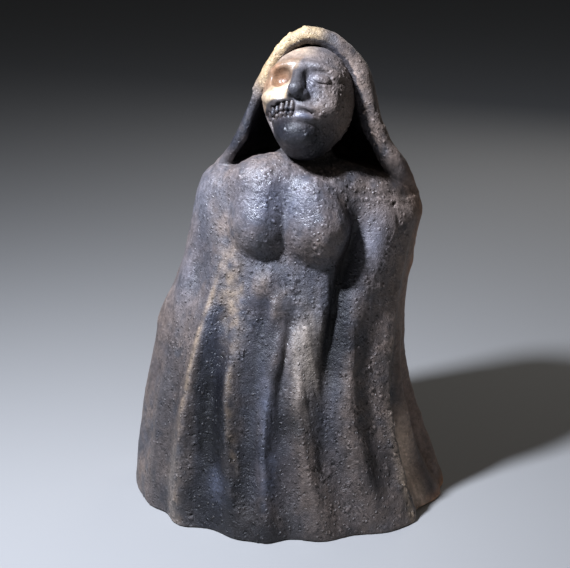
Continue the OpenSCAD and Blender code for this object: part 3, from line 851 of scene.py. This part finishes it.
def paint_body(p, n, bulge):
    """Colour, with painted light and shade, and gloss of the fired clay of the gown, cloak, hood and
    shoulders.
    """
    a, z = angle_of(p), p[:, 2]
    fold = lift(a, np.clip(z, 0, BODY_TOP))
    cloud = fractal(p * (1, 1, 0.55), 38, 21)
    small = fractal(p * (1, 1, 0.6), 13, 25)
    mottle = fractal(p, 5, 27)
    off = off_angle(a, 5)
    # The fold term paints shade: browner on the crests of the folds, smokier in their valleys
    warm = 0.45 + 0.6 * cloud + 0.8 * small + 0.75 * mottle + 0.05 * fold
    colour = blend(SMOKE + 0 * p, BROWN, warm)
    colour = blend(colour, SOOT, 1.7 * small + 0.9 * mottle - 0.45)

    # The gown's front: blue-black valleys deepened with painted shade, painted shadows and highlights, and
    # worn, pale crests
    front = ease((58 - np.abs(off)) / 16) * ease((150 - z) / 30)
    # Blue-black that varies at random, and deeper in the valleys between folds as painted shade
    colour = blend(colour, BLUE, front * ease(0.25 - 0.35 * fold + 0.9 * small) * 0.75)
    colour = dabs(colour, p, small, mottle, [
        # Painted shadow down the valley beside the cloak's leading fold, low down and higher up
        (SOOT * 0.5, (-36, -45, 58), (9.5, 30, 46), 1.5, 0, 0.8),
        (BLUE, (-36, -45, 98), (7, 30, 22), 0.8, 0, 0),
    ], front)
    colour = dabs(colour, p, small, mottle, [
        (SOOT * 0.6, (-28, -60, 22), (15, 30, 24), 0.85, 0, 0.7),
        (SOOT, (-8, -60, 60), (6, 30, 34), 0.7, 0.6, 0),
        (SOOT * 0.5, (2, -60, 54), (10, 30, 8), 1.0, 0, 0.9),
        # Painted shade: darker along the front of the hem
        (SOOT * 0.5, (-8, -60, 2), (30, 30, 11), 1.0, 0.9, 0),
        (SOOT * 0.6, (40, -50, 26), (9, 30, 12), 0.8, 0.8, 0),
        (BROWN * 0.8, (16, -60, 20), (18, 30, 24), 0.6, 0.6, 0),
        (BROWN * 1.15, (42, -50, 86), (10, 40, 50), 0.55, 0, 0.5),
    ])
    clouded = 2.0 * fractal(p * (1, 1, 0.6), 22, 44) - 0.15
    colour = blend(colour, SOOT * 0.8, front * ease((118 - z) / 30) * clouded)
    # Painted highlights: bluish-grey streaks on the lower front
    colour = dabs(colour, p, small, mottle, [
        (BLUE * 2.4, (-11, -53, 62), (3, 20, 15), 0.7, 0, 0.6),
        (BLUE * 2.4, (-10, -58, 32), (4, 20, 12), 0.7, 0, 0.6),
        (BLUE * 2.4, (-34, -55, 22), (4, 20, 7), 0.7, 0, 0.6),
    ])
    streak = noise(p * (1, 1, 0.08), 2.4, 61)
    colour = blend(colour, PALE, spot(p, (8, -52, 83), (7.5, 30, 19)) * (0.75 + 0.5 * small + 0.5 * streak))
    # Painted shadow cast by the left breast down the valley beside it
    colour = blend(colour, SOOT * 0.45, band(a, 22.5, 5.4) * ease((158 - z) / 14) * ease((z - 60) / 30) * 1.4)
    colour = blend(colour, SOOT * 0.6, band(a, 26, 6) * ease((150 - z) / 14) * ease((z - 112) / 14) * 0.8)

    # The cloak's worn leading edge on the right, with its lighter flank
    crest = off_angle(a, fold_angle(LEADING_FOLD, z))
    edge = np.exp(-((crest + 0.8) / 1.5) ** 2) * ease((140 - z) / 40)
    colour = blend(colour, TAN * 0.75, edge * (0.35 + 0.9 * small + 0.6 * mottle))
    colour = blend(colour, TAN * 0.8, spot(p, (-27, -40, 112), (5, 30, 20)) * (0.5 + 0.8 * mottle))
    flank = np.exp(-((crest + 5) / 4.5) ** 2) * ease((60 - z) / 50)
    colour = blend(colour, PALE * 0.8, flank * (0.6 + 0.7 * small))
    colour = blend(colour, SMOKE * 0.8, band(a, -60, 5) * ease((105 - z) / 40) * (0.5 + 0.8 * mottle))
    colour = dabs(colour, p, small, mottle, [
        (BLUE * 0.9, (-42, -30, 134), (8, 20, 13), 0.7, 0, 0.8),
        # Painted highlight: a bluish sheen on the cloak below the right shoulder
        (SMOKE * (1.9, 2.0, 2.2), (-52, -24, 116), (8, 20, 16), 0.7, 0, 0.8),
        (SOOT * 1.4, (-60, -28, 66), (9, 24, 24), 0.45, 1.1, 0),
    ])
    ridge_b = band(a, mix(-13, -27, np.clip(z / 118, 0, 1)), 1.1) * ease((122 - z) / 20) * ease((z - 26) / 20)
    colour = blend(colour, TAN * 0.6, ridge_b * (0.25 + 0.9 * small + 0.8 * mottle))

    # The figure's left side: warm brown, with painted light in the valley behind its front edge, and an
    # orange edge
    side = ease((a - 60) / 8) * ease((200 - a) / 60)
    colour = blend(colour, BROWN * (1.1, 0.95, 0.85), side * (0.75 + 0.3 * mottle))
    corner = fold_angle(CORNER_FOLD, z)
    edge = np.exp(-((off_angle(a, corner) + 1.2) / 2.0) ** 2) * ease((96 - z) / 30)
    colour = blend(colour, TAN * 0.75, edge * (0.5 + 0.8 * small))
    # Painted light: the valley behind the front edge made pale as if lit by warm bounced light
    bounce_lit_valley = band(a, corner + 11, 5) * ease((58 - z) / 26)
    colour = blend(colour, PALE * (2.0, 1.75, 1.55), bounce_lit_valley * (0.9 + 0.4 * small))
    colour = blend(colour, SOOT, band(a, corner + 20, 4) * ease((90 - z) / 40) * 0.5)
    flash = spot(np.stack([a, z, 0 * a], 1), (80, 124, 0), (9, 26, 1))
    colour = blend(colour, ORANGE, flash * (1.0 + 0.6 * mottle))
    colour = blend(colour, ORANGE * 1.2, ease((a - 45) / 30) * ease((6 - z) / 6) * (0.6 + 0.8 * mottle))
    behind = ease((np.abs(off_angle(a, 180)) - 100) / -30)
    colour = blend(colour, BROWN * 1.1, behind * (0.35 + 0.6 * cloud))
    colour = blend(colour, SOOT, behind * ease(cloud * 2 - 0.5) * 0.6)

    # Chest and shoulders, with painted highlights on both shoulders
    colour = dabs(colour, p, small, mottle, [
        (BLUE * 1.7, (-6, -50, 156), (24, 30, 14), 0.9, 0, 0.5),
        (BROWN * 0.75, (12, -50, 132), (14, 30, 9), 0.6, 0, 0.6),
        # Painted highlight: a bluish sheen on the right shoulder
        (SMOKE * (1.8, 1.95, 2.15), (-46, -18, 152), (18, 34, 13), 0.9, 0.5, 0),
        (BROWN, (-32, -34, 140), (5, 30, 12), 0.6, 0, 0.6),
        (BROWN * 1.4, (50, -14, 148), (16, 24, 9), 0.6, 0, 0.6),
        # Painted light: the left shoulder's flank made lighter and bluish
        (SMOKE * (1.9, 2.0, 2.2), (40, -32, 134), (9, 20, 16), 0.8, 0, 0.6),
        (BROWN * 1.3, (52, -22, 122), (8, 16, 20), 0.6, 0, 0.6),
    ])

    # The hood: tan over the top, brown down its sides, sooty patches, and painted shade inside it, down its
    # right side and under the head
    high = ease((z - 163) / 12)
    top = ease((z - 196) / 16)
    inner_left = ease((p[:, 0] - 16) / 12)
    hood = blend(SMOKE * 0.8 + 0 * p, BROWN * 0.9, 0.45 + 0.8 * small + 0.5 * mottle)
    tanned = top * ease((22 - p[:, 0]) / 16) * (0.8 + 0.6 * small + 0.5 * mottle)
    hood = blend(hood, TAN * (0.66, 0.62, 0.48), tanned)
    crown = ease((z - 214) / 9) * ease((18 - p[:, 0]) / 12) * (0.55 + 0.7 * small)
    hood = blend(hood, CREAM * (0.64, 0.61, 0.5), crown)
    hood = blend(hood, SOOT, spot(p, (20, -20, 216), (10, 9, 6)) * (1.1 + 0.8 * mottle))
    hood = blend(hood, BROWN * 1.2, inner_left * (0.5 + 0.8 * mottle))
    # Darker down the hood's right side below the top: dark brown clay and painted shade
    hood = blend(hood, SOOT, ease((4 - p[:, 0]) / 6) * ease((202 - z) / 10) * (1.0 + 0.6 * mottle))
    # Painted shade on the hood's inner faces
    inward = ((p - [10, -8, 190]) * n).sum(1) < 0
    hood = blend(hood, SOOT * 1.3, inward * 0.8)
    from_neck = np.linalg.norm(p[:, :2] - [9, -8], axis=1)
    under_head = ease((19 - from_neck) / 4) * ease((186 - z) / 4)
    mound = ease((-10 - p[:, 1]) / 6) * ease((181 - z) / 4) * ease((30 - np.abs(p[:, 0] - 6)) / 5)
    colour = blend(colour, hood, high * (1 - np.maximum(under_head, mound)))
    # Painted shade under the head
    colour = blend(colour, SMOKE * 0.5, under_head * ease((z - 163) / 4) * 0.9)

    # Inside the hollow the clay is raw and brown
    b = curve(BODY, np.clip(z, 0, BODY_TOP))
    reach = np.hypot((p[:, 0] - b[:, 1]) / b[:, 2], p[:, 1] / np.where(p[:, 1] < 0, b[:, 3], b[:, 4]))
    facing = (n[:, 0] * (p[:, 0] - b[:, 1]) + n[:, 1] * p[:, 1]) < 0
    colour = blend(colour, BROWN, (facing & (reach < 0.97) & (z < 150)) * 0.8)

    # Painted shade: the front darker towards the bottom
    low = 1 - 0.32 * ease((75 - np.abs(off)) / 20) * ease((105 - z) / 50)
    # Painted light and shade: lighter on bulges, darker in dips
    colour = colour * (low * (1 + np.clip(bulge * 5.5, -0.6, 1.1)))[:, None]
    burnish = np.clip(burnished(p) * (z < 176), 0, 1)
    return np.clip(colour, 0.006, 0.9), burnish, rough_front(a) * (1 - 0.35 * burnish)


def paint_head(q, p, bulge):
    """Colour, with painted light and shade, and gloss of the head. q is the place in the head's own frame and
    p on the figure.
    """
    x, y, z = q.T
    small = fractal(p, 8, 31)
    colour = blend(SMOKE * 1.15 + 0 * p, BROWN, 0.3 + 0.6 * small + 0.5 * ease((x - 6) / 12))
    # Painted sheen: a bluish patch below the living eye
    colour = blend(colour, BLUE * 1.6, spot(q, (5, -20, -3), (5, 9, 8)) * 0.6)
    mottle = fractal(p, 3.5, 35)
    bone = ease((0.6 - x + 1.2 * small) / 2.2) * ease((-4 - y) / 5)
    pale = blend(TAN * 0.5 + 0 * p, ORANGE * 0.5, 0.3 + 0.7 * small + 0.4 * mottle)
    pale = dabs(pale, q, small, mottle, [
        (CREAM * 0.75, (-9, -20, -8.5), (6.5, 12, 4.6), 1.2, 0, 0),
        (ORANGE * 0.55, (-9, -18, 0.5), (5.4, 8, 4.6), 0.9, 0, 0),
        (SOOT, (-5, -16, 1), (2.5, 8, 3), 0.6, 0, 0),
    ])
    pale = blend(pale, BROWN, ease((z - 5) / 9) * (0.75 + 0.8 * small))
    pale = blend(pale, SOOT, ease((z - 12) / 9) * (0.25 + 0.9 * mottle))
    pale = blend(pale, SOOT, ease((MOUTH_Z + 5.5 - z) / 1.5) * 0.93)
    colour = blend(colour, pale, bone)
    colour = blend(colour, TAN, ease((z - 9) / 8) * ease((7 - x) / 8) * (0.55 + 0.5 * small))
    nose = ease((4.2 - np.abs(x - 0.4)) / 1.2) * ease((9 - np.abs(z + 4)) / 3) * ease((-19.6 - y) / 1.6)
    colour = blend(colour, SMOKE * 0.7, nose)
    colour = dabs(colour, q, small, mottle, [
        # Painted shade under the nose
        (SOOT * 1.5, (0.5, -24, NOSE_Z - 3), (4.5, 5, 2), 0.8, 0, 0),
        # Painted highlight on the lower lip
        (BLUE * 2.4, (4.8, -20, MOUTH_Z - 2.2), (4.5, 6, 1.8), 0.8, 0, 0),
        # Painted shade along the mouth line
        (SOOT, (5, -21, MOUTH_Z), (5.5, 5, 0.7), 0.8, 0, 0),
    ])
    # Painted shade under the chin and along the lower jaw
    colour = blend(colour, SOOT * 0.7, ease((-15.5 - z) / 7) * (0.95 + 0.4 * mottle))
    colour = blend(colour, SOOT, ease((-11 - z) / 6) * ease((x - 9) / 5) * 0.6)
    # Painted light and shade: lighter on bulges, darker in dips
    colour = colour * (1 + np.clip(bulge * 5, -0.45, 0.5))[:, None]
    gloss = spot(q, (4.8, -21, MOUTH_Z - 2.2), (5, 6, 2.4)) + 0.7 * spot(q, (3, -22, -3), (5, 8, 6))
    gloss = gloss + 0.35 * bone
    grit = 0.35 + 0.4 * ease((x - 5) / 8)
    return np.clip(colour, 0.006, 0.95), np.clip(gloss, 0, 1), grit


# ---- materials
def clay_material(name, dull, bump):
    """Fired clay. Colour, gloss and coarseness are the piece's attributes; the fine grain is noise."""
    mat = bpy.data.materials.new(name)
    mat.use_nodes = True
    tree = mat.node_tree
    shader = tree.nodes["Principled BSDF"]

    def node(kind, inputs=None, **settings):
        made = tree.nodes.new(kind)
        for key, value in settings.items():
            setattr(made, key, value)
        for key, value in (inputs or {}).items():
            if isinstance(value, bpy.types.NodeSocket):
                tree.links.new(value, made.inputs[key])
            else:
                made.inputs[key].default_value = value
        return made

    def sums(what, one, two):
        return node("ShaderNodeMath", {0: one, 1: two}, operation=what).outputs[0]

    def ramp(value, low, high, start, end):
        limits = {0: value, 1: low, 2: high, 3: start, 4: end}
        return node("ShaderNodeMapRange", limits).outputs[0]

    place = node("ShaderNodeTexCoord").outputs["Object"]
    tone = node("ShaderNodeAttribute", attribute_name="tone").outputs["Color"]
    gloss = node("ShaderNodeAttribute", attribute_name="gloss").outputs["Fac"]
    grit = node("ShaderNodeAttribute", attribute_name="grit").outputs["Fac"]
    blotch = node("ShaderNodeTexNoise", {"Vector": place, "Scale": 420.0, "Detail": 5.0, "Roughness": 0.65})
    fine = node("ShaderNodeTexNoise", {"Vector": place, "Scale": 1500.0, "Detail": 3.0, "Roughness": 0.6})
    bent = node("ShaderNodeTexNoise", {"Vector": place, "Scale": 900.0, "Detail": 2.0}).outputs["Color"]
    bent = node("ShaderNodeVectorMath", {0: bent, 1: (0.0011,) * 3}, operation="MULTIPLY").outputs[0]
    torn = node("ShaderNodeVectorMath", {0: place, 1: bent}, operation="ADD").outputs[0]
    cells = node("ShaderNodeTexVoronoi", {"Vector": torn, "Scale": 470.0, "Randomness": 1.0})
    shade = ramp(blotch.outputs["Fac"], 0.28, 0.72, 0.60, 1.45)
    varied = node("ShaderNodeVectorMath", {0: tone, 1: shade}, operation="MULTIPLY").outputs[0]
    fleck = ramp(cells.outputs["Distance"], 0.16, 0.30, 1.0, 0.0)
    pick = node("ShaderNodeSeparateColor", {0: cells.outputs["Color"]}).outputs[0]
    pale = sums("MULTIPLY", sums("MULTIPLY", fleck, ramp(pick, 0.80, 0.84, 0.0, 0.14)), grit)
    layers = {0: pale, 6: varied, 7: (0.30, 0.25, 0.22, 1)}
    flecked = node("ShaderNodeMix", layers, data_type="RGBA")
    tree.links.new(flecked.outputs[2], shader.inputs["Base Color"])
    uneven = ramp(fine.outputs["Fac"], 0.3, 0.7, -0.14, 0.14)
    rough = sums("ADD", ramp(gloss, 0.0, 1.0, dull, 0.21), uneven)
    tree.links.new(rough, shader.inputs["Roughness"])
    crumb = ramp(cells.outputs["Distance"], 0.10, 0.38, 1.0, 0.0)
    raised = ramp(pick, 0.60, 0.68, 0.0, 0.50)
    sunk = ramp(pick, 0.14, 0.20, -0.42, 0.0)
    crumb = sums("MULTIPLY", sums("MULTIPLY", crumb, sums("ADD", raised, sunk)), grit)
    grain = [sums("MULTIPLY", layer.outputs["Fac"], 0.35) for layer in (blotch, fine)]
    height = sums("ADD", sums("ADD", *grain), crumb)
    strength = ramp(grit, 0.0, 1.0, bump * 0.35, bump)
    relief = node("ShaderNodeBump", {"Height": height, "Distance": 0.0012, "Strength": strength})
    tree.links.new(relief.outputs[0], shader.inputs["Normal"])
    shader.inputs["Specular IOR Level"].default_value = 0.45
    return mat


def finish_piece(name, me, colour, gloss, grit, spin=None, centre=None, mat=None):
    """Gives a mesh its attributes and material, and moves it from millimetres to its place in metres."""
    tone = np.c_[colour, np.ones(len(colour))]
    layers = [("tone", "FLOAT_COLOR", "color", tone)]
    layers += [("gloss", "FLOAT", "value", gloss), ("grit", "FLOAT", "value", grit)]
    for key, kind, field, values in layers:
        layer = me.attributes.new(key, kind, "POINT")
        layer.data.foreach_set(field, np.ascontiguousarray(values, np.float32).ravel())
    p = coords(me)
    if spin is not None:
        p = p @ spin.T + centre
    me.vertices.foreach_set("co", ((p + SHIFT) * MM).astype(np.float32).ravel())
    me.update()
    me.materials.clear()
    me.materials.append(mat)
    me.polygons.foreach_set("use_smooth", np.ones(len(me.polygons), bool))
    me.set_sharp_from_angle(angle=SHARP_ANGLE)
    return thing("clay_" + name, me)


# For each slot: roughness where the clay is dull, strength of the relief
SLOTS = {
    "smoked_clay": [0.50, 1.0], "burnished_clay": [0.42, 0.8], "brown_clay": [0.52, 0.8],
    "tan_clay": [0.55, 0.8], "bone_clay": [0.50, 0.45], "raw_clay": [0.80, 1.0],
}
PIECES = {
    "smoked_clay": ["skirt_front", "cloak_right", "bodice", "neck", "head_core", "face_living_half", "nose",
                    "eyelid", "upper_teeth", "lower_teeth"],
    "burnished_clay": ["breast_right", "breast_left", "shoulder_shelf", "lips"],
    "brown_clay": ["cloak_left", "cloak_back_left", "cloak_back_right"],
    "bone_clay": ["face_bone_half"],
    "tan_clay": ["hood", "hood_rim"],
    "raw_clay": ["hem_coil", "waist_coil", "seam_coils"],
}
SLOT_OF = {name: slot for slot, names in PIECES.items() for name in names}


def show(name, me, painted, spin=None, centre=None):
    piece = finish_piece(name, me, *painted, spin, centre, materials[SLOT_OF[name]])
    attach(piece, "root")
    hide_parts(name)


materials = {slot: clay_material(slot, *values) for slot, values in SLOTS.items()}

for name, me in part_body(*build_body(BODY_VOXEL)).items():
    p, n = coords(me), normals(me)
    show(name, me, paint_body(p, n, bend(me, p, n)))

spin = rotation((-HEAD_TILT, 0, -HEAD_TURN))
head_parts = part_head(*build_head(HEAD_VOXEL))
for name, upper in (("upper_teeth", True), ("lower_teeth", False)):
    head_parts[name] = mesh_of(name, *build_teeth(TEETH_VOXEL, upper))
for name, me in head_parts.items():
    q, n = coords(me), normals(me)
    colour, gloss, grit = paint_head(q, q @ spin.T + HEAD, bend(me, q, n))
    if "teeth" in name:
        colour = blend(SOOT + 0 * q, BROWN, 0.25 + 0.5 * fractal(q, 2.2, 40))
        gloss = gloss * 0 + 0.35
    show(name, me, (colour, gloss, grit), spin, HEAD)

# The coils inside stay as the CAD has them
for name in PIECES["raw_clay"]:
    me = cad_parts[name].data
    me.materials.clear()
    me.materials.append(materials["raw_clay"])


# ---- floor, light and camera
def plain_material(name, colour, rough):
    mat = bpy.data.materials.new(name)
    mat.use_nodes = True
    shader = mat.node_tree.nodes["Principled BSDF"]
    shader.inputs["Base Color"].default_value = (*colour, 1)
    shader.inputs["Roughness"].default_value = rough
    return mat


def area_light(name, place, aim, size, watts, colour):
    light = bpy.data.lights.new(name, "AREA")
    light.shape, light.size, light.energy, light.color = "DISK", size, watts, colour
    ob = thing(name, light)
    ob.location = place
    ob.rotation_euler = (Vector(aim) - Vector(place)).to_track_quat("-Z", "Y").to_euler()
    return ob


corners = np.array([[-3, -3, 0], [3, -3, 0], [3, 3, 0], [-3, 3, 0]], float)
floor = thing("floor", mesh_of("floor", corners, [[0, 1, 2, 3]]))
floor.data.materials.append(plain_material("pale_floor", (0.32, 0.315, 0.305), 0.8))

AIM = (0.0, 0.0, 0.12)
area_light("key", (-0.205, -0.185, 0.485), AIM, 0.055, 7.0, (0.785, 0.85, 1.0))
area_light("fill", (0.75, -0.55, 0.45), AIM, 0.7, 0.35, (1.0, 0.95, 0.90))
area_light("rim", (0.35, 0.7, 0.55), AIM, 0.5, 1.2, (1.0, 0.97, 0.93))
bpy.context.scene.view_settings.view_transform = "Standard"
world = bpy.data.worlds.new("studio")
world.use_nodes = True
world.node_tree.nodes["Background"].inputs[0].default_value = (0.80, 0.82, 0.85, 1)
world.node_tree.nodes["Background"].inputs[1].default_value = 0.03
bpy.context.scene.world = world

camera = thing("camera", bpy.data.cameras.new("camera"))
LOOKS_DOWN = 18.2
camera.location = (-0.00307, -0.592, 0.298)
camera.rotation_euler = (math.radians(90 - LOOKS_DOWN), 0, 0)
camera.data.sensor_width = 36
camera.data.lens = 80.84
bpy.context.scene.camera = camera
